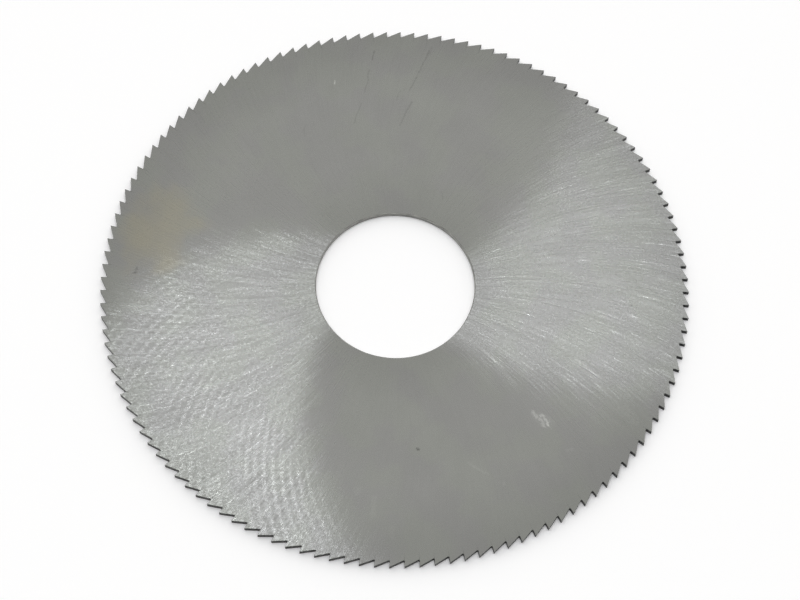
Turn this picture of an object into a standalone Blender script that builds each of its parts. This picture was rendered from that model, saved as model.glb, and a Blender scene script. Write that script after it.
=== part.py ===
"""Fine-tooth metal slitting saw: one flat ring of hollow-ground steel with teeth all round its rim.

The blade lies on Z = 0 with its bore axis on Z. Seen from above, its teeth point clockwise.
"""

import math

import bmesh
import bpy
from mathutils import Matrix, Vector

# Ring, in metres
OUTER_DIAMETER = 0.100
BORE_DIAMETER = 0.027
RIM_THICKNESS = 0.0010
BORE_CHAMFER = 0.00015

# Hollow grinding of both faces, in metres
HOLLOW_DEPTH = 0.00004
HUB_DIAMETER = 0.040
BAND_UNDER_GULLETS = 0.0012

# Teeth, in metres and radians
TEETH = 128
GULLET_DEPTH = 0.00106
ROOT_RADIUS = 0.00015
TIP_LAND = 0.00005
RAKE_ANGLE = math.radians(2.0)
FIRST_TIP_ANGLE = math.radians(1.76)

# Fineness of the model
ROOT_SEGMENTS = 8
STOCK = 0.001
WELD_DISTANCE = 0.000001
SHARP_ANGLE = math.radians(20.0)

# Ground steel
STEEL_COLOUR = (0.27, 0.27, 0.255, 1.0)
STEEL_ROUGHNESS = 0.32

TIP_RADIUS = OUTER_DIAMETER / 2
BORE_RADIUS = BORE_DIAMETER / 2
HUB_RADIUS = HUB_DIAMETER / 2
BAND_RADIUS = TIP_RADIUS - GULLET_DEPTH - BAND_UNDER_GULLETS
TOOTH_PITCH = 2 * math.pi / TEETH


def clear_scene():
    """Remove the objects that the file opened with."""
    for obj in list(bpy.data.objects):
        bpy.data.objects.remove(obj, do_unlink=True)


def new_collection(name):
    """Make a collection in the scene."""
    collection = bpy.data.collections.new(name)
    bpy.context.scene.collection.children.link(collection)
    return collection


def on_circle(radius, angle):
    """Give the point at an angle from +X on a circle about the bore axis."""
    return Vector((radius * math.cos(angle), radius * math.sin(angle)))


def tooth_points():
    """Outline of one tooth with its tip on +X, from the gullet in front of its face to the end of its land."""
    tip = on_circle(TIP_RADIUS, 0.0)
    down_face = Vector((-math.cos(RAKE_ANGLE), math.sin(RAKE_ANGLE)))
    off_face = Vector((-math.sin(RAKE_ANGLE), -math.cos(RAKE_ANGLE)))

    # The root fillet touches the face, and its lowest point lies at the gullet's depth
    beside_tip = tip + off_face * ROOT_RADIUS
    centre_radius = TIP_RADIUS - GULLET_DEPTH + ROOT_RADIUS
    outward = -beside_tip.dot(down_face)
    side = beside_tip.length_squared - outward ** 2
    centre = beside_tip + down_face * (outward - math.sqrt(centre_radius ** 2 - side))

    # The back of the tooth in front runs straight from its land and touches the fillet
    heel = on_circle(TIP_RADIUS, TIP_LAND / TIP_RADIUS - TOOTH_PITCH)
    to_centre = centre - heel
    back_heading = math.atan2(to_centre.y, to_centre.x) + math.asin(ROOT_RADIUS / to_centre.length)
    fillet_start = back_heading + math.pi / 2
    fillet_end = math.pi / 2 - RAKE_ANGLE

    points = []
    for step in range(ROOT_SEGMENTS + 1):
        angle = fillet_start + (fillet_end - fillet_start) * step / ROOT_SEGMENTS
        points.append(centre + on_circle(ROOT_RADIUS, angle))
    points.append(tip)
    points.append(on_circle(TIP_RADIUS, TIP_LAND / TIP_RADIUS))
    return points


def toothed_outline_points():
    """Closed outline of the whole blade: the one tooth turned round the bore axis."""
    tooth = tooth_points()
    points = []
    for count in range(TEETH):
        turn = Matrix.Rotation(FIRST_TIP_ANGLE + count * TOOTH_PITCH, 2)
        points.extend(turn @ point for point in tooth)
    return points


def make_tooth_cutter(collection):
    """Extrude the toothed outline through the blank, as a closed mesh."""
    curve = bpy.data.curves.new("tooth_cutter", "CURVE")
    curve.dimensions = "2D"
    curve.fill_mode = "BOTH"
    curve.extrude = RIM_THICKNESS / 2 + STOCK
    points = toothed_outline_points()
    spline = curve.splines.new("POLY")
    spline.points.add(len(points) - 1)
    for place, point in zip(spline.points, points):
        place.co = (point.x, point.y, 0.0, 1.0)
    spline.use_cyclic_u = True

    guide = bpy.data.objects.new("tooth_guide", curve)
    guide.location.z = RIM_THICKNESS / 2
    collection.objects.link(guide)
    bpy.context.view_layer.update()
    depsgraph = bpy.context.evaluated_depsgraph_get()
    mesh = bpy.data.meshes.new_from_object(guide.evaluated_get(depsgraph))
    welded = bmesh.new()
    welded.from_mesh(mesh)
    bmesh.ops.remove_doubles(welded, verts=welded.verts, dist=WELD_DISTANCE)
    welded.to_mesh(mesh)
    welded.free()

    cutter = bpy.data.objects.new("tooth_cutter", mesh)
    cutter.matrix_world = guide.matrix_world
    cutter.hide_render = True
    cutter.display_type = "WIRE"
    collection.objects.link(cutter)
    bpy.data.objects.remove(guide, do_unlink=True)
    return cutter


def blank_profile():
    """Half section of the ring as radius and height, down the outer side, then in, up the bore and out."""
    stock_radius = TIP_RADIUS + STOCK
    bottom_hub = HOLLOW_DEPTH
    top_hub = RIM_THICKNESS - HOLLOW_DEPTH
    return [
        (stock_radius, RIM_THICKNESS),
        (stock_radius, 0.0),
        (BAND_RADIUS, 0.0),
        (HUB_RADIUS, bottom_hub),
        (BORE_RADIUS + BORE_CHAMFER, bottom_hub),
        (BORE_RADIUS, bottom_hub + BORE_CHAMFER),
        (BORE_RADIUS, top_hub - BORE_CHAMFER),
        (BORE_RADIUS + BORE_CHAMFER, top_hub),
        (HUB_RADIUS, top_hub),
        (BAND_RADIUS, RIM_THICKNESS),
    ]


def make_blank(name, collection):
    """Turn the half section round the bore axis."""
    profile = bmesh.new()
    corners = [profile.verts.new((radius, 0.0, height)) for radius, height in blank_profile()]
    for start, end in zip(corners, corners[1:] + corners[:1]):
        profile.edges.new((start, end))
    mesh = bpy.data.meshes.new(name)
    profile.to_mesh(mesh)
    profile.free()

    blank = bpy.data.objects.new(name, mesh)
    collection.objects.link(blank)
    turning = blank.modifiers.new("Turned ring", "SCREW")
    turning.axis = "Z"
    turning.angle = 2 * math.pi
    turning.steps = TEETH
    turning.render_steps = TEETH
    turning.use_merge_vertices = True
    turning.merge_threshold = WELD_DISTANCE
    return blank


def cut_teeth(blank, cutter):
    """Keep what lies inside the toothed outline, and shade the result with its corners sharp."""
    toothing = blank.modifiers.new("Teeth", "BOOLEAN")
    toothing.operation = "INTERSECT"
    toothing.solver = "EXACT"
    toothing.object = cutter
    depsgraph = bpy.context.evaluated_depsgraph_get()
    mesh = bpy.data.meshes.new_from_object(blank.evaluated_get(depsgraph))
    blank.modifiers.clear()
    blank.data = mesh
    mesh.name = blank.name
    mesh.shade_smooth()
    mesh.set_sharp_from_angle(angle=SHARP_ANGLE)


def ground_steel():
    """Grey ground high-speed steel."""
    material = bpy.data.materials.new("Ground high-speed steel")
    material.use_nodes = True
    surface = material.node_tree.nodes["Principled BSDF"]
    surface.inputs["Base Color"].default_value = STEEL_COLOUR
    surface.inputs["Metallic"].default_value = 1.0
    surface.inputs["Roughness"].default_value = STEEL_ROUGHNESS
    return material


def main():
    """Build the saw."""
    clear_scene()
    parts = new_collection("Slitting saw")
    cutters = new_collection("Cutters")
    blade = make_blank("saw_blade", parts)
    cut_teeth(blade, make_tooth_cutter(cutters))
    blade.data.materials.clear()
    blade.data.materials.append(ground_steel())


main()
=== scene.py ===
import math
import random
from functools import partial
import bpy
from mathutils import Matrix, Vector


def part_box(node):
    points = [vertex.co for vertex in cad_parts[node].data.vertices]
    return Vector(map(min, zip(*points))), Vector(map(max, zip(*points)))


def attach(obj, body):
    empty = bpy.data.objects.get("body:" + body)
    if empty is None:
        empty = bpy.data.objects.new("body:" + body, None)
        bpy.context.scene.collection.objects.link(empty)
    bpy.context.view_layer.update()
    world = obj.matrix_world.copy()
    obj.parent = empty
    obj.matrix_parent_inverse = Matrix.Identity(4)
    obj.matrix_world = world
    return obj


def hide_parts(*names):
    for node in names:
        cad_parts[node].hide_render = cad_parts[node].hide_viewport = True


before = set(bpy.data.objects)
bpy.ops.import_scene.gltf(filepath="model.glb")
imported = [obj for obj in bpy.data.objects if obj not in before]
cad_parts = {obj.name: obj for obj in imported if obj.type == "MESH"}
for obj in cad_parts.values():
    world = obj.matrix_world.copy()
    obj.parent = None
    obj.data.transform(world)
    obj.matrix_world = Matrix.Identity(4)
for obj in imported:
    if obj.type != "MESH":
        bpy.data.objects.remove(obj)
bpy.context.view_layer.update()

from types import SimpleNamespace

import bmesh
import bpy
from bpy.props import (
    FloatProperty,
    FloatVectorProperty,
    IntProperty,
    PointerProperty,
)
from mathutils import Matrix, Quaternion, Vector
from mathutils.geometry import intersect_line_line

bl_info = {
    "name": "Slitting saw",
    "version": (1, 0, 0),
    "blender": (4, 5, 0),
    "location": "View3D > Sidebar > Slitting saw",
    "description": "Makes a fine-tooth slitting saw of ground steel and the plain stage it lies on",
    "category": "Add Mesh",
}

CAD_NODE = "saw_blade"
BLADE_LOW, BLADE_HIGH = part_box(CAD_NODE)
AXIS = Vector((0.0, 0.0, 1.0))
ORIGIN = Vector((0.0, 0.0, 0.0))
MM = 0.001

# In metres: how near points weld, how near radii count as one, and how far below the blade the floor is
WELD = 0.0000005
SAME_RADIUS = 0.000005
FLOOR_GAP = 0.00002

# Surfaces of the blade, in the order of its materials
GROUND_SIDE, BORE, CUTTING_FACE, TOOTH_BACK = range(4)

# Rings of the blade, each from one radius to another in metres, across which its steel changes
RING_OF_MARKS = (0.024, 0.034)
RING_OF_CHATTER = (0.024, 0.040)
# The last two rings paint the steel darker towards the bore and the rim: painted shade
SHADE_BY_BORE = (0.012, 0.025)
SHADE_BY_RIM = (0.036, 0.050)

# Sizes in mm of what mottles the ground steel: real grit is finer than a pixel, so this is as fine as shows
GRIT = 0.3846
RAGGED_EDGE = 2.381
CLOUD = 6.25
CHATTER_PATCH = 8.333
FILM_PATCH = 9.091

# Sizes in mm of the walls' tool marks along X, Y and Z: they run round the bore and through the teeth
BORE_MARKS = (1.4286, 1.4286, 0.08333)
TOOTH_MARKS = (0.2, 0.2, 2.0)

# Chatter: how many beads a wave has to a radian of its arc, and by what angles grit shifts beads and waves
BEADS = 240.0
BEAD_SHIFT = 4.0
WAVE_SHIFT = 1.2

# How far each kind of mark tips the surface sideways, on the left and the right where they differ
FINE_TIP = 0.30
BROAD_TIP = 0.10
CREST_TIP = 0.08
PIT_TIPS = (0.42, 0.24)
GLINT_TIPS = (0.14, 0.11)
LEFT_TO_RIGHT = (-0.02, 0.02)

# What makes a Map Range node ease in and out
SMOOTH = {"interpolation_type": "SMOOTHSTEP"}

# What happened to the upper side since it was ground: each mark's two ends and width in mm, and its tone
MARKS = {
    "head of the dark scratch": ((-3.7, 46.0), (-4.2, 44.2), 0.20, 0.82),
    "dark scratch": ((-4.6, 42.0), (-5.5, 37.6), 0.17, 0.87),
    "its second half": ((-6.2, 35.3), (-7.2, 31.2), 0.16, 0.89),
    "dark scratch at the top": ((6.1, 46.2), (2.5, 38.1), 0.17, 0.84),
    "its head": ((6.6, 46.6), (6.0, 45.2), 0.30, 0.93),
    "its second half lower down": ((2.8, 35.5), (0.8, 30.8), 0.20, 0.87),
    "short dark scratch": ((0.9, 37.9), (0.2, 35.9), 0.20, 0.92),
    "shorter dark scratch": ((-15.8, 30.6), (-15.9, 28.4), 0.16, 0.93),
    "faint scratch": ((17.8, 43.1), (12.5, 37.5), 0.16, 0.96),
    "faint scratch by the bore": ((8.1, 17.9), (8.2, 16.2), 0.20, 0.92),
    "pale nick": ((-10.9, 39.7), (-10.9, 39.1), 0.17, 1.50),
    "dark nick": ((-43.8, 2.5), (-44.1, 1.8), 0.30, 0.72),
    "tail of the dark nick": ((-44.1, 1.8), (-44.8, 1.6), 0.15, 0.85),
    "rust spot": ((3.7, -29.6), (3.8, -29.7), 0.36, 0.60),
    "scuff": ((23.5, -23.9), (25.0, -25.1), 1.10, 1.08),
    "lower edge of the scuff": ((22.9, -23.0), (24.6, -25.5), 0.40, 1.26),
    "bright edge of the scuff": ((24.2, -23.6), (25.4, -25.3), 0.36, 1.40),
    "faint side of the scuff": ((25.0, -23.9), (26.1, -24.9), 0.60, 1.06),
    "tail of the scuff": ((25.4, -25.3), (25.8, -26.0), 0.22, 1.14),
    "pale streak": ((12.1, -32.0), (15.2, -34.1), 0.30, 1.07),
    "pale speck": ((28.3, -29.8), (29.2, -29.7), 0.40, 1.07),
    "smaller pale speck": ((17.7, -35.6), (17.8, -35.7), 0.35, 1.08),
    "wiped smear near the rim": ((37.8, -22.3), (39.6, -24.6), 1.1, 1.06),
    "wiped smear": ((-3.4, -38.2), (-3.6, -41.2), 0.7, 1.05),
    "smaller wiped smear": ((-6.0, -36.8), (-6.2, -37.3), 0.7, 1.05),
    "lowest wiped smear": ((-0.4, -43.2), (-0.6, -45.0), 0.5, 1.04),
    "dark speck": ((40.0, -3.4), (40.1, -3.5), 0.22, 0.75),
}
STAIN_ENDS = ((-39.6, 12.4), (-41.5, 8.0))
STAIN_WIDTH = 8.0


# Colours

def linear(hex_colour):
    """Turn an sRGB hex colour into the linear colour that a shader takes."""
    channels = [int(hex_colour[place:place + 2], 16) / 255 for place in (1, 3, 5)]
    return tuple(c / 12.92 if c <= 0.04045 else ((c + 0.055) / 1.055) ** 2.4 for c in channels)


# Sizes and colours that a user would change

class BladeSizes(bpy.types.PropertyGroup):
    """Sizes of the saw blade."""

    outer_diameter: FloatProperty(
        name="Outer diameter", description="Across the tooth tips", default=0.100, unit="LENGTH")
    bore_diameter: FloatProperty(
        name="Bore diameter", description="Hole for the arbor", default=0.027, unit="LENGTH")
    thickness: FloatProperty(
        name="Thickness", description="At the rim", default=BLADE_HIGH.z - BLADE_LOW.z, unit="LENGTH")
    bore_chamfer: FloatProperty(
        name="Bore chamfer", description="Broken edge of the bore", default=0.00015, unit="LENGTH")
    hub_diameter: FloatProperty(
        name="Hub diameter", description="Flat seat for the arbor's collars", default=0.040, unit="LENGTH")
    hollow_depth: FloatProperty(
        name="Hollow depth", description="Ground off each face at the hub", default=0.00004, unit="LENGTH")
    band_width: FloatProperty(
        name="Band under the gullets", description="Full-thickness band inside the teeth",
        default=0.0012, unit="LENGTH")
    teeth: IntProperty(name="Teeth", description="Number of teeth", default=128, min=8)
    gullet_depth: FloatProperty(
        name="Gullet depth", description="From tip circle to gullet floor", default=0.00106, unit="LENGTH")
    root_radius: FloatProperty(
        name="Root radius", description="Fillet of each gullet", default=0.00015, unit="LENGTH")
    tip_land: FloatProperty(
        name="Tip land", description="Narrow land behind each cutting edge",
        default=0.00005, unit="LENGTH")
    rake_angle: FloatProperty(
        name="Rake angle", description="Lean of the cutting face",
        default=math.radians(2.0), subtype="ANGLE")
    first_tip_angle: FloatProperty(
        name="First tip", description="Where the first tip lies, from +X",
        default=math.radians(1.76), subtype="ANGLE")
    edge_break: FloatProperty(
        name="Edge break", description="Width of the broken edge along the teeth",
        default=0.00003, unit="LENGTH")
    tip_wear: FloatProperty(
        name="Tip wear", description="How far the bluntest tips have worn back",
        default=0.00005, unit="LENGTH")
    wear_seed: IntProperty(name="Wear seed", description="Chooses which tips are worn", default=7)


class SteelFinish(bpy.types.PropertyGroup):
    """Colours and marks of the ground steel."""

    ground_colour: FloatVectorProperty(
        name="Ground faces", description="Steel where it is ground", subtype="COLOR",
        default=linear("#8F908B"))
    film_colour: FloatVectorProperty(
        name="Oil film", description="Steel where a film of oil clouds it", subtype="COLOR",
        default=linear("#8E8E8B"))
    bore_colour: FloatVectorProperty(
        name="Bore", description="Duller steel of the bore's wall and chamfers", subtype="COLOR",
        default=linear("#83837F"))
    # The cutting faces and tooth backs are painted near black, darker than their steel: painted shade on
    # the narrow walls
    face_shade_colour: FloatVectorProperty(
        name="Cutting faces", description="Dark steel of the cutting faces", subtype="COLOR",
        default=linear("#242423"))
    back_shade_colour: FloatVectorProperty(
        name="Tooth backs", description="Dark steel of the tooth backs and gullets", subtype="COLOR",
        default=linear("#333331"))
    stain_colour: FloatVectorProperty(
        name="Oil stain", description="Faint yellow stain", subtype="COLOR", default=linear("#959285"))
    wheel_radius: FloatProperty(
        name="Wheel radius", description="Radius of the arcs that the grinding wheel leaves",
        default=0.070, unit="LENGTH")
    wheel_offset: FloatProperty(
        name="Wheel offset", description="Where the arcs run straight out from the bore axis",
        default=0.018, unit="LENGTH")
    swirl_radius: FloatProperty(
        name="Swirl radius", description="Radius of the arcs that the shine lies across",
        default=0.0392, unit="LENGTH")
    swirl_offset: FloatProperty(
        name="Swirl offset", description="Where those arcs run straight out from the bore axis",
        default=0.0148, unit="LENGTH")
    mark_width: FloatProperty(
        name="Mark width", description="Width of the fine wheel marks", default=0.0003, unit="LENGTH")
    mark_length: FloatProperty(
        name="Mark length", description="Length of the fine wheel marks", default=0.008, unit="LENGTH")
    chatter_crests: IntProperty(
        name="Chatter crests", description="Waves that the wheel left round the blade", default=143)
    chatter_radius: FloatProperty(
        name="Chatter radius", description="Radius of the arcs in which the waves lie",
        default=0.035, unit="LENGTH")
    chatter_heading: FloatProperty(
        name="Chatter heading", description="Where the waves are deepest, from +X",
        default=math.radians(205.0), subtype="ANGLE")


class StudioSizes(bpy.types.PropertyGroup):
    """Floor, light and camera."""

    floor_colour: FloatVectorProperty(
        name="Floor", description="Pale floor", subtype="COLOR", default=linear("#FFFEFC"))
    floor_size: FloatProperty(name="Floor size", description="Half a side", default=3.0, unit="LENGTH")
    floor_lift: FloatProperty(
        name="Floor lift", description="Light that the floor adds where it is seen or reflected",
        default=0.06)
    room: FloatProperty(
        name="Room", description="Brightness of the white ceiling and the wall behind the saw",
        default=1.0)
    window: FloatProperty(
        name="Window", description="What the low part of that wall adds to it", default=0.7)
    front_wall: FloatProperty(
        name="Front wall", description="Brightness of the unlit wall behind the camera", default=0.08)
    strip_length: FloatProperty(
        name="Strip length", description="Long side of the strip light", default=0.631, unit="LENGTH")
    strip_width: FloatProperty(
        name="Strip width", description="Short side of the strip light", default=0.04, unit="LENGTH")
    strip_power: FloatProperty(name="Strip power", description="In watts", default=2.70)
    strip_colour: FloatVectorProperty(
        name="Strip colour", description="Cool white", subtype="COLOR", default=linear("#F5F8FF"))
    strip_place: FloatVectorProperty(
        name="Strip place", description="Centre of the strip light", subtype="TRANSLATION",
        default=(-0.0355, 0.0123, 1.0))
    strip_heading: FloatProperty(
        name="Strip heading", description="Which way its long side lies, from +X",
        default=math.radians(-1.5), subtype="ANGLE")
    camera_place: FloatVectorProperty(
        name="Camera", description="Camera, from the middle of the blade's upper face",
        subtype="TRANSLATION", default=(-0.00693, -0.15832, 0.33879))
    camera_aim: FloatVectorProperty(
        name="Aim", description="Point of the upper face in the middle of the view",
        subtype="TRANSLATION", default=(0.00079, -0.00290, 0.0))
    camera_roll: FloatProperty(
        name="Roll", description="Turn about the view axis", default=math.radians(3.13), subtype="ANGLE")
    lens: FloatProperty(name="Lens", description="Focal length in millimetres", default=99.06)


# Blade

def around(radius, angle, height=0.0):
    """Give the point at an angle from +X on a circle about the bore axis."""
    return Vector((radius * math.cos(angle), radius * math.sin(angle), height))


def gullet_corner(size):
    """Where a straight back and the next cutting face would meet, and how far the root fillet reaches."""
    tip_radius = size.outer_diameter / 2
    pitch = 2 * math.pi / size.teeth
    tip = around(tip_radius, 0.0)
    down_face = around(-1.0, -size.rake_angle)
    off_face = around(-1.0, math.pi / 2 - size.rake_angle)
    beside_tip = tip + off_face * size.root_radius
    outward = -beside_tip.dot(down_face)
    side = beside_tip.length_squared - outward ** 2
    centre_radius = tip_radius - size.gullet_depth + size.root_radius
    centre = beside_tip + down_face * (outward - math.sqrt(centre_radius ** 2 - side))
    heel = around(tip_radius, size.tip_land / tip_radius - pitch)
    to_centre = centre - heel
    back_heading = math.atan2(to_centre.y, to_centre.x) + math.asin(size.root_radius / to_centre.length)
    corner = intersect_line_line(tip, tip + down_face, heel, heel + around(1.0, back_heading))[0]
    reach = (centre - off_face * size.root_radius - corner).length
    return corner, reach


def draw_tooth(bm, size):
    """Draw one pitch of the rim flat at full height, its root rounded, from one land to the next."""
    tip_radius = size.outer_diameter / 2
    band_radius = tip_radius - size.gullet_depth - size.band_width
    pitch = 2 * math.pi / size.teeth
    land = size.tip_land / tip_radius
    corner, reach = gullet_corner(size)
    outline = [
        around(band_radius, land - pitch),
        around(tip_radius, land - pitch),
        corner,
        around(tip_radius, 0.0),
        around(tip_radius, land),
        around(band_radius, land),
    ]
    verts = [bm.verts.new((point.x, point.y, size.thickness)) for point in outline]
    bm.faces.new(verts)
    bmesh.ops.bevel(
        bm, geom=[verts[2]], affect="VERTICES", offset=reach, segments=10, profile=0.5, material=-1)


def on_radius(edge, radius):
    """Tell whether both ends of an edge lie on a circle about the bore axis."""
    return all(abs(vert.co.xy.length - radius) < SAME_RADIUS for vert in edge.verts)


def grow_ring(bm, edges, radius, height):
    """Grow a ring of faces from a loop of edges to another radius and height, and give its far loop."""
    grown = bmesh.ops.extrude_edge_only(bm, edges=edges)["geom"]
    verts = {item for item in grown if isinstance(item, bmesh.types.BMVert)}
    for vert in verts:
        flat = vert.co.xy.normalized() * radius
        vert.co = (flat.x, flat.y, height)
    return [item for item in grown if isinstance(item, bmesh.types.BMEdge) and verts.issuperset(item.verts)]


def wear_tips(bm, size):
    """Set each tooth's tip back a little, some more than others."""
    tip_radius = size.outer_diameter / 2
    pitch = 2 * math.pi / size.teeth
    chance = random.Random(size.wear_seed)
    wear = [size.tip_wear * chance.random() ** 2 for _ in range(size.teeth)]
    for vert in bm.verts:
        if vert.co.xy.length > tip_radius - SAME_RADIUS:
            tooth = round(math.atan2(vert.co.y, vert.co.x) / pitch) % size.teeth
            vert.co.xy *= 1 - wear[tooth] / tip_radius


def make_blade_mesh(size):
    """Spin one tooth into the rim, grow the face in to the bore, mirror it and close the walls."""
    pitch = 2 * math.pi / size.teeth
    tip_radius = size.outer_diameter / 2
    band_radius = tip_radius - size.gullet_depth - size.band_width
    bore_radius = size.bore_diameter / 2
    hub_height = size.thickness - size.hollow_depth

    bm = bmesh.new()
    draw_tooth(bm, size)
    bmesh.ops.spin(
        bm, geom=bm.verts[:] + bm.edges[:] + bm.faces[:], cent=ORIGIN, axis=AXIS,
        angle=pitch * (size.teeth - 1), steps=size.teeth - 1, use_duplicate=True)
    bmesh.ops.remove_doubles(bm, verts=bm.verts, dist=WELD)
    wear_tips(bm, size)

    # A finer circle inside the teeth, so that the bore is round
    inner = [edge for edge in bm.edges if on_radius(edge, band_radius)]
    bmesh.ops.subdivide_edges(bm, edges=inner, cuts=2)
    inner = [
        edge for edge in bm.edges
        if edge.is_boundary and edge.verts[0].co.xy.length < band_radius + WELD
    ]
    for vert in {vert for edge in inner for vert in edge.verts}:
        vert.co.xy *= band_radius / vert.co.xy.length

    inner = grow_ring(bm, inner, size.hub_diameter / 2, hub_height)
    inner = grow_ring(bm, inner, bore_radius + size.bore_chamfer, hub_height)
    grow_ring(bm, inner, bore_radius, hub_height - size.bore_chamfer)
    bmesh.ops.mirror(
        bm, geom=bm.verts[:] + bm.edges[:] + bm.faces[:], axis="Z", merge_dist=WELD,
        matrix=Matrix.Translation((0.0, 0.0, -size.thickness / 2)))

    open_edges = [edge for edge in bm.edges if edge.is_boundary]
    for is_bore in (True, False):
        loops = [
            edge for edge in open_edges
            if (edge.verts[0].co.xy.length < size.hub_diameter / 2) == is_bore
        ]
        bmesh.ops.bridge_loops(bm, edges=loops)
    bmesh.ops.recalc_face_normals(bm, faces=bm.faces)
    bmesh.ops.rotate(
        bm, verts=bm.verts, cent=ORIGIN, matrix=Matrix.Rotation(size.first_tip_angle, 3, AXIS))
    return bm


def is_flat(face):
    """Tell whether a face belongs to the blade's upper or lower side."""
    return abs(face.normal.z) > 0.99


def break_edges(bm, size):
    """Break the sharp edges that the teeth make with both sides."""
    outer = size.outer_diameter / 2 - size.gullet_depth - size.band_width / 2
    rim = [
        edge for edge in bm.edges
        if edge.verts[0].co.xy.length > outer and sum(is_flat(face) for face in edge.link_faces) == 1
    ]
    bmesh.ops.bevel(
        bm, geom=rim, affect="EDGES", offset=size.edge_break, segments=2, profile=0.5,
        material=-1, clamp_overlap=True)


def name_surfaces(bm, size):
    """Give each face the surface it belongs to, and a broken edge that of the side it runs along."""
    for face in bm.faces:
        middle = face.calc_center_median()
        outward = face.normal.xy.normalized().dot(middle.xy.normalized())
        if is_flat(face):
            face.material_index = GROUND_SIDE
        elif middle.xy.length < size.hub_diameter / 2:
            face.material_index = BORE
        elif abs(face.normal.z) > 0.05:
            face.material_index = GROUND_SIDE
        elif abs(outward) < 0.3:
            face.material_index = CUTTING_FACE
        else:
            face.material_index = TOOTH_BACK


# Materials

def add_node(tree, kind, inputs=(), **settings):
    """Add a node, make its settings, fill or link its inputs, and give the output that it uses.

    The inputs are values and outputs in the order of the node's own, or a dictionary of them by name.
    """
    node = tree.nodes.new("ShaderNode" + kind)
    for name, value in settings.items():
        setattr(node, name, value)
    for key, value in inputs.items() if isinstance(inputs, dict) else enumerate(inputs):
        if isinstance(value, bpy.types.NodeSocket):
            tree.links.new(value, node.inputs[key])
        else:
            node.inputs[key].default_value = value
    return next(output for output in node.outputs if output.enabled)


def start_material(name):
    """Make a material with a bare Principled surface, and give it with its tree and shader."""
    material = bpy.data.materials.new(name)
    material.use_nodes = True
    tree = material.node_tree
    return material, tree, tree.nodes["Principled BSDF"]


def locate(tree, size):
    """Tell where on its side of the blade a point lies, and three kinds of grit there."""
    add = partial(add_node, tree)
    place = add("TexCoord").node.outputs["Object"]
    across, along, height = add("SeparateXYZ", (place,)).node.outputs

    # Both sides were ground alike, so the lower one is worked out as seen from below
    side = add("Math", (height, size.thickness / 2), operation="SUBTRACT")
    side = add("Math", (side,), operation="SIGN")
    flip = add("CombineXYZ", (1.0, side))
    flat = add("VectorMath", (place, flip), operation="MULTIPLY")
    along = add("Math", (along, side), operation="MULTIPLY")
    radius = add("VectorMath", (flat,), operation="LENGTH")
    angle = add("Math", (along, across), operation="ARCTAN2")
    grit = add("TexNoise", {"Vector": flat, "Scale": 1 / (GRIT * MM), "Detail": 1.0})
    grain, speckle, scatter = add("SeparateXYZ", (grit.node.outputs["Color"],)).node.outputs
    return SimpleNamespace(
        side=side, flip=flip, flat=flat, across=across, radius=radius, angle=angle,
        grain=grain, speckle=speckle, scatter=scatter)


def wheel_heading(tree, point, wheel_radius, nearest, turn):
    """Where, round the blade, the wheel's middle lay that ground this point: one for a whole arc."""
    add = partial(add_node, tree)
    reach = math.hypot(wheel_radius, nearest)
    squares = add("Math", (point.radius, point.radius, nearest ** 2), operation="MULTIPLY_ADD")
    twice = add("Math", (point.radius, 2 * reach), operation="MULTIPLY")
    cosine = add("Math", (squares, twice), operation="DIVIDE")
    between = add("Math", (cosine,), operation="ARCCOSINE")
    return add("Math", (between, turn, point.angle), operation="MULTIPLY_ADD")


def on_ring(tree, angle, radius, height=0.0):
    """Give the point at an angle on a circle."""
    add = partial(add_node, tree)
    cosine = add("Math", (angle,), operation="COSINE")
    sine = add("Math", (angle,), operation="SINE")
    across = add("Math", (cosine, radius), operation="MULTIPLY")
    along = add("Math", (sine, radius), operation="MULTIPLY")
    return add("CombineXYZ", (across, along, height))


def near(tree, flat, ends, width):
    """Mask the ground within a width of the straight line between two points given in mm."""
    add = partial(add_node, tree)
    start, end = (Vector((*place, 0.0)) * MM for place in ends)
    run = end - start
    offset = add("VectorMath", (flat, start), operation="SUBTRACT")
    share = add("VectorMath", (offset, run / run.length_squared), operation="DOT_PRODUCT")
    share = add("Clamp", (share,))
    foot = add("VectorMath", {"Vector": run, "Scale": share}, operation="SCALE")
    apart = add("VectorMath", (offset, foot), operation="DISTANCE")
    apart = add("Math", (apart, width), operation="DIVIDE")
    return add("MapRange", (apart, 1.0, 0.3), **SMOOTH)


def wheel_marks(tree, point, finish):
    """Noise drawn out along the wheel's arcs, in fine, broad and deep marks, and the arc at each point."""
    add = partial(add_node, tree)
    arc = wheel_heading(tree, point, finish.wheel_radius, finish.wheel_offset, -1.0)
    layer = add("Math", (point.radius, point.side), operation="ADD")
    arc_place = on_ring(tree, arc, 1.0, layer)

    def marks(at_radius, width, length, detail):
        stretch = (at_radius / width, at_radius / width, 1 / length)
        spread = add("VectorMath", (arc_place, stretch), operation="MULTIPLY")
        return add("TexNoise", {"Vector": spread, "Scale": 1.0, "Detail": detail, "Roughness": 0.6})

    # Fine marks are 0.3 mm wide, as fine as shows: real ones have a tenth of that width. The arcs fan out,
    # so marks have their full width at one radius only, and the fine ones are mixed from two
    width, length = finish.mark_width, finish.mark_length
    outward = add("MapRange", (point.radius, *RING_OF_MARKS), **SMOOTH)
    near_bore = marks(0.020, width, length, 3.0)
    near_rim = marks(0.042, width, length, 3.0)
    fine = add("Mix", {"Factor": outward, "A": near_bore, "B": near_rim}, data_type="FLOAT")
    broad = marks(0.040, 5 * width, 3 * length, 2.0)
    deep = marks(0.034, 0.8 * width, length / 2, 0.0)
    return SimpleNamespace(arc=arc, fine=fine, broad=broad, deep=deep)


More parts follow.
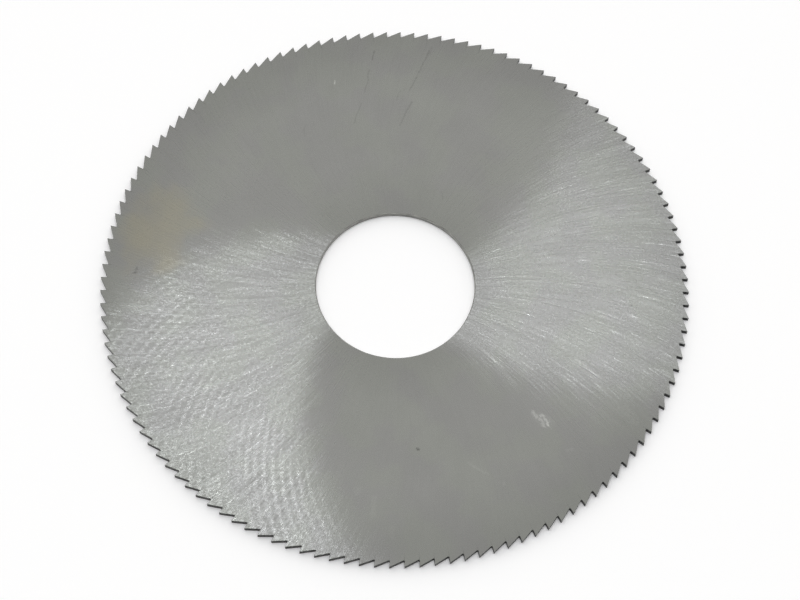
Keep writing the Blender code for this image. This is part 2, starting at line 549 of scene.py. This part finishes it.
def chatter_waves(tree, point, arc, finish):
    """Waves that the wheel left where it chattered, in patches, broken into rows of short crests."""
    add = partial(add_node, tree)
    crest = wheel_heading(tree, point, finish.chatter_radius, 0.0, 1.0)
    shift = add("Math", (point.scatter, 2 * WAVE_SHIFT, -WAVE_SHIFT), operation="MULTIPLY_ADD")
    turns = add("Math", (crest, float(finish.chatter_crests), shift), operation="MULTIPLY_ADD")
    wave = add("Math", (turns,), operation="SINE")
    wave = add("Math", (wave, -0.5), operation="MAXIMUM")

    patches = add("TexNoise", {"Vector": point.flat, "Scale": 1 / (CHATTER_PATCH * MM), "Detail": 1.0})
    facing = add("Math", (point.angle, finish.chatter_heading), operation="SUBTRACT")
    facing = add("Math", (facing,), operation="COSINE")
    shift = add("Math", (point.speckle, BEAD_SHIFT), operation="MULTIPLY")
    beads = add("Math", (arc, BEADS, shift), operation="MULTIPLY_ADD")
    beads = add("Math", (beads,), operation="SINE")
    limits = (
        (point.radius, *RING_OF_CHATTER),
        (patches, 0.3, 0.6),
        (facing, 0.4, 0.75),
        (beads, -0.6, 0.8, 0.25, 1.5),
    )
    for limit in limits:
        wave = add("Math", (wave, add("MapRange", limit, **SMOOTH)), operation="MULTIPLY")
    return wave


def sideways_tip(tree, point, marks, waves):
    """How far the surface tips to either side of the marks, which glints under a lamp and nowhere else."""
    add = partial(add_node, tree)
    burrs = add("Math", (point.across,), operation="SIGN")
    tip = add("Math", (marks.fine, FINE_TIP, -FINE_TIP / 2), operation="MULTIPLY_ADD")
    broad = add("Math", (marks.broad, BROAD_TIP, -BROAD_TIP / 2), operation="MULTIPLY_ADD")
    tip = add("Math", (tip, broad), operation="ADD")

    pits = add("Math", (point.grain, 0.5), operation="SUBTRACT")
    depth = add("MapRange", (point.across, *LEFT_TO_RIGHT, *PIT_TIPS), **SMOOTH)
    tip = add("Math", (pits, depth, tip), operation="MULTIPLY_ADD")

    crests = add("Math", (waves, burrs), operation="MULTIPLY")
    tip = add("Math", (crests, CREST_TIP, tip), operation="MULTIPLY_ADD")

    glints = add("MapRange", (marks.deep, 0.68, 0.76), **SMOOTH)
    glints = add("Math", (glints, burrs), operation="MULTIPLY")
    broken = add("MapRange", (point.speckle, 0.35, 0.55, 0.3, 1.0), **SMOOTH)
    glints = add("Math", (glints, broken), operation="MULTIPLY")
    depth = add("MapRange", (point.across, *LEFT_TO_RIGHT, *GLINT_TIPS), **SMOOTH)
    return add("Math", (glints, depth, tip), operation="MULTIPLY_ADD")


def shade_and_wear_tone(tree, point, clouds, upper):
    """How light the steel is: painted shade darkens it by the bore and the rim, and it is faintly clouded,
    and scratched above.
    """
    add = partial(add_node, tree)
    # Painted shade: the steel's colour darkens towards the bore and towards the rim
    bore_shade = add("MapRange", (point.radius, *SHADE_BY_BORE, 0.90, 1.0), **SMOOTH)
    rim_shade = add("MapRange", (point.radius, *SHADE_BY_RIM, 1.0, 0.86), **SMOOTH)
    cloud_tone = add("MapRange", (clouds, 0.3, 0.7, 0.985, 1.015), **SMOOTH)
    tone = add("Math", (bore_shade, rim_shade), operation="MULTIPLY")
    tone = add("Math", (tone, cloud_tone), operation="MULTIPLY")

    # Each mark's edge wanders by up to half a millimetre, and grit breaks up its width and depth
    shake = add("TexNoise", {"Vector": point.flat, "Scale": 1 / (RAGGED_EDGE * MM), "Detail": 3.0})
    shake = add("VectorMath", (shake.node.outputs["Color"], (0.5, 0.5, 0.5)), operation="SUBTRACT")
    shaken = add("VectorMath", (shake, (MM, MM, 0.0), point.flat), operation="MULTIPLY_ADD")
    ragged = add("Math", (point.grain, 1.6, 0.2), operation="MULTIPLY_ADD")
    broken = add("MapRange", (point.grain, 0.35, 0.6, 0.55, 1.15), **SMOOTH)
    broken = add("Math", (upper, broken), operation="MULTIPLY")
    for start, end, width, change in MARKS.values():
        reach = add("Math", (ragged, width * MM), operation="MULTIPLY")
        mark = near(tree, shaken, (start, end), reach)
        mark = add("Math", (mark, broken), operation="MULTIPLY")
        mark = add("Math", (mark, change - 1, 1.0), operation="MULTIPLY_ADD")
        tone = add("Math", (tone, mark), operation="MULTIPLY")
    return tone


def oiled_colour(tree, point, clouds, upper, finish):
    """The steel's colour under a patchy film of oil, with a yellow stain on the upper side."""
    add = partial(add_node, tree)
    film = add("TexNoise", {"Vector": point.flat, "Scale": 1 / (FILM_PATCH * MM), "Detail": 2.0})
    film = add("MapRange", (film, 0.42, 0.58), **SMOOTH)
    colours = {"Factor": film, "A": (*finish.ground_colour, 1.0), "B": (*finish.film_colour, 1.0)}
    colour = add("Mix", colours, data_type="RGBA")
    reach = add("Math", (clouds, 2 * STAIN_WIDTH * MM), operation="MULTIPLY")
    stain = near(tree, point.flat, STAIN_ENDS, reach)
    stain = add("Math", (stain, upper), operation="MULTIPLY")
    thickness = add("MapRange", (clouds, 0.3, 0.7, 0.6, 1.0), **SMOOTH)
    stain = add("Math", (stain, thickness), operation="MULTIPLY")
    colours = {"Factor": stain, "A": colour, "B": (*finish.stain_colour, 1.0)}
    return add("Mix", colours, data_type="RGBA")


def ground_steel(size, finish):
    """Ground high-speed steel: its marks are arcs, so each side shines in two sectors that turn with it."""
    material, tree, surface = start_material("Ground high-speed steel")
    add = partial(add_node, tree)
    point = locate(tree, size)
    marks = wheel_marks(tree, point, finish)
    waves = chatter_waves(tree, point, marks.arc, finish)
    tip = sideways_tip(tree, point, marks, waves)

    # The shine lies across marks that are steeper arcs still
    swirl = wheel_heading(tree, point, finish.swirl_radius, finish.swirl_offset, -1.0)
    stray = add("MapRange", (marks.deep, 0.3, 0.7, -0.04, 0.04), **SMOOTH)
    swirl = add("Math", (swirl, stray), operation="ADD")
    middle = on_ring(tree, swirl, math.hypot(finish.swirl_radius, finish.swirl_offset))
    sideways = add("VectorMath", (middle, point.flat), operation="SUBTRACT")
    sideways = add("VectorMath", (sideways, point.flip), operation="MULTIPLY")
    sideways = add("VectorMath", (sideways,), operation="NORMALIZE")
    tipped = add("VectorMath", {"Vector": sideways, "Scale": tip}, operation="SCALE")
    upright = add("NewGeometry").node.outputs["Normal"]
    tipped = add("VectorMath", (upright, tipped), operation="ADD")
    tipped = add("VectorMath", (tipped,), operation="NORMALIZE")

    clouds = add("TexNoise", {"Vector": point.flat, "Scale": 1 / (CLOUD * MM), "Detail": 3.0})
    upper = add("MapRange", (point.side, 0.0, 1.0), **SMOOTH)
    # The tone holds painted shade by the bore and the rim, besides clouds and wear
    tone = shade_and_wear_tone(tree, point, clouds, upper)
    colour = oiled_colour(tree, point, clouds, upper, finish)
    colour = add("VectorMath", {"Vector": colour, "Scale": tone}, operation="SCALE")
    dullness = add("Math", (marks.fine, 2.0, point.speckle), operation="MULTIPLY_ADD")
    roughness = add("MapRange", (dullness, 1.0, 2.0, 0.30, 0.22), **SMOOTH)

    tree.links.new(colour, surface.inputs["Base Color"])
    tree.links.new(roughness, surface.inputs["Roughness"])
    tree.links.new(sideways, surface.inputs["Tangent"])
    tree.links.new(tipped, surface.inputs["Normal"])
    surface.inputs["Metallic"].default_value = 1.0
    surface.inputs["Anisotropic"].default_value = 1.0
    return material


def wall_steel(name, colour, roughness, mark_sizes):
    """Bare steel of a narrow wall: its tool marks run one way and change its tone and gloss a little."""
    material, tree, surface = start_material(name)
    add = partial(add_node, tree)
    place = add("TexCoord").node.outputs["Object"]
    stretch = [1 / (mark_size * MM) for mark_size in mark_sizes]
    place = add("VectorMath", (place, stretch), operation="MULTIPLY")
    marks = add("TexNoise", {"Vector": place, "Scale": 1.0, "Detail": 2.0})
    tone = add("MapRange", (marks, 0.3, 0.7, 0.65, 1.35), **SMOOTH)
    toned = add("VectorMath", {"Vector": colour, "Scale": tone}, operation="SCALE")
    gloss = add("MapRange", (marks, 0.3, 0.7, roughness + 0.08, roughness - 0.08), **SMOOTH)
    bump = add("Bump", {"Height": marks, "Strength": 0.5, "Distance": 0.01 * MM})
    tree.links.new(toned, surface.inputs["Base Color"])
    tree.links.new(gloss, surface.inputs["Roughness"])
    tree.links.new(bump, surface.inputs["Normal"])
    surface.inputs["Metallic"].default_value = 1.0
    return material


def blade_steels(size, finish):
    """Make the steels of the blade's surfaces, in the surfaces' order."""
    # The bore is ground, so it is smoother; the milled teeth are duller, and their near-black colours are
    # painted shade
    return (
        ground_steel(size, finish),
        wall_steel("Ground bore steel", finish.bore_colour, 0.35, BORE_MARKS),
        wall_steel("Milled cutting face steel", finish.face_shade_colour, 0.45, TOOTH_MARKS),
        wall_steel("Milled tooth back steel", finish.back_shade_colour, 0.45, TOOTH_MARKS),
    )


def is_seen(tree):
    """Tell whether a ray shows what it meets, directly or in metal or glass, or only lights with it."""
    add = partial(add_node, tree)
    path = add("LightPath").node.outputs
    seen = add("Math", (path["Is Camera Ray"], path["Is Glossy Ray"]), operation="MAXIMUM")
    return add("Math", (seen, path["Is Transmission Ray"]), operation="MAXIMUM")


def pale_floor(studio):
    """Matt white card: even and without shine, so that only the soft shadow marks it."""
    material, tree, surface = start_material("White card")
    lift = add_node(tree, "Math", (is_seen(tree), studio.floor_lift), operation="MULTIPLY")
    tree.links.new(lift, surface.inputs["Emission Strength"])
    surface.inputs["Emission Color"].default_value = (1.0, 1.0, 1.0, 1.0)
    surface.inputs["Base Color"].default_value = (*studio.floor_colour, 1.0)
    surface.inputs["Roughness"].default_value = 1.0
    surface.inputs["Specular IOR Level"].default_value = 0.0
    return material


def white_room(studio):
    """A white room, lit by a window low behind the saw and least from the front: shadows fall forwards."""
    world = bpy.data.worlds.new("White room")
    world.use_nodes = True
    tree = world.node_tree
    add = partial(add_node, tree)
    toward = add("TexCoord").node.outputs["Generated"]
    _, backward, upward = add("SeparateXYZ", (toward,)).node.outputs
    back_wall = add("MapRange", (backward, -0.25, 0.25), **SMOOTH)
    ceiling = add("MapRange", (upward, 0.80, 0.92), **SMOOTH)
    lit = add("Math", (back_wall, ceiling), operation="MAXIMUM")
    level = add("MapRange", {"Value": lit, "To Min": studio.front_wall, "To Max": studio.room})
    window = add("MapRange", (backward, 0.65, 0.9, 0.0, studio.window), **SMOOTH)
    level = add("Math", (level, window), operation="ADD")
    levels = {"Factor": is_seen(tree), "A": level, "B": studio.room}
    level = add("Mix", levels, data_type="FLOAT")
    tree.links.new(level, tree.nodes["Background"].inputs["Strength"])
    tree.nodes["Background"].inputs["Color"].default_value = (1.0, 1.0, 1.0, 1.0)
    return world


# Operators

class SLITTINGSAW_OT_blade(bpy.types.Operator):
    """Make the saw blade with its ground steel"""

    bl_idname = "slitting_saw.blade"
    bl_label = "Saw blade"

    def execute(self, context):
        size = context.scene.slitting_saw_blade
        finish = context.scene.slitting_saw_finish
        bm = make_blade_mesh(size)
        break_edges(bm, size)
        name_surfaces(bm, size)
        mesh = bpy.data.meshes.new("ground_blade")
        bm.to_mesh(mesh)
        bm.free()
        mesh.set_sharp_from_angle(angle=math.radians(20.0))
        for steel in blade_steels(size, finish):
            mesh.materials.append(steel)
        blade = bpy.data.objects.new("ground_blade", mesh)
        context.scene.collection.objects.link(blade)
        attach(blade, "root")
        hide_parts(CAD_NODE)
        return {"FINISHED"}


class SLITTINGSAW_OT_stage(bpy.types.Operator):
    """Make the floor, the strip light, the white room and the camera"""

    bl_idname = "slitting_saw.stage"
    bl_label = "Stage"

    def execute(self, context):
        studio = context.scene.slitting_saw_studio
        scene = context.scene

        bm = bmesh.new()
        bmesh.ops.create_grid(bm, x_segments=1, y_segments=1, size=studio.floor_size)
        bmesh.ops.translate(bm, verts=bm.verts, vec=(0.0, 0.0, BLADE_LOW.z - FLOOR_GAP))
        mesh = bpy.data.meshes.new("floor")
        bm.to_mesh(mesh)
        bm.free()
        mesh.materials.append(pale_floor(studio))
        floor = bpy.data.objects.new("floor", mesh)
        scene.collection.objects.link(floor)

        scene.world = white_room(studio)

        lamp = bpy.data.lights.new("strip_light", "AREA")
        lamp.shape = "RECTANGLE"
        lamp.size = studio.strip_length
        lamp.size_y = studio.strip_width
        lamp.energy = studio.strip_power
        lamp.color = studio.strip_colour
        strip = bpy.data.objects.new("strip_light", lamp)
        backward = Vector(studio.strip_place).normalized()
        short_side = backward.cross(around(1.0, studio.strip_heading)).normalized()
        turn = Matrix((short_side.cross(backward), short_side, backward)).transposed()
        strip.matrix_world = Matrix.Translation(studio.strip_place) @ turn.to_4x4()
        scene.collection.objects.link(strip)

        lens = bpy.data.cameras.new("camera")
        lens.lens = studio.lens
        lens.sensor_width = 36.0
        lens.clip_start = 0.01
        lens.clip_end = 20.0
        camera = bpy.data.objects.new("camera", lens)
        upper = Vector((0.0, 0.0, BLADE_HIGH.z))
        aim = Vector(studio.camera_aim) - Vector(studio.camera_place)
        camera.location = upper + Vector(studio.camera_place)
        camera.rotation_mode = "QUATERNION"
        camera.rotation_quaternion = aim.to_track_quat("-Z", "Y") @ Quaternion(AXIS, studio.camera_roll)
        scene.collection.objects.link(camera)
        scene.camera = camera
        scene.view_settings.view_transform = "Standard"
        return {"FINISHED"}


class VIEW3D_PT_slitting_saw(bpy.types.Panel):
    """Lists the saw's sizes and its two steps"""

    bl_label = "Slitting saw"
    bl_space_type = "VIEW_3D"
    bl_region_type = "UI"
    bl_category = "Slitting saw"

    def draw(self, context):
        scene = context.scene
        steps = (
            ("slitting_saw.blade", (scene.slitting_saw_blade, scene.slitting_saw_finish)),
            ("slitting_saw.stage", (scene.slitting_saw_studio,)),
        )
        for operator, groups in steps:
            box = self.layout.box()
            for group in groups:
                for name in group.bl_rna.properties.keys():
                    if name not in {"rna_type", "name"}:
                        box.prop(group, name)
            box.operator(operator)


CLASSES = (
    BladeSizes,
    SteelFinish,
    StudioSizes,
    SLITTINGSAW_OT_blade,
    SLITTINGSAW_OT_stage,
    VIEW3D_PT_slitting_saw,
)


def register():
    """Add the classes and the scene's settings."""
    for item in CLASSES:
        bpy.utils.register_class(item)
    bpy.types.Scene.slitting_saw_blade = PointerProperty(type=BladeSizes)
    bpy.types.Scene.slitting_saw_finish = PointerProperty(type=SteelFinish)
    bpy.types.Scene.slitting_saw_studio = PointerProperty(type=StudioSizes)


def unregister():
    """Take the scene's settings and the classes away again."""
    del bpy.types.Scene.slitting_saw_studio
    del bpy.types.Scene.slitting_saw_finish
    del bpy.types.Scene.slitting_saw_blade
    for item in reversed(CLASSES):
        bpy.utils.unregister_class(item)


def main():
    """Make the blade and its stage."""
    register()
    bpy.ops.slitting_saw.blade()
    bpy.ops.slitting_saw.stage()


if __name__ == "__main__":
    main()
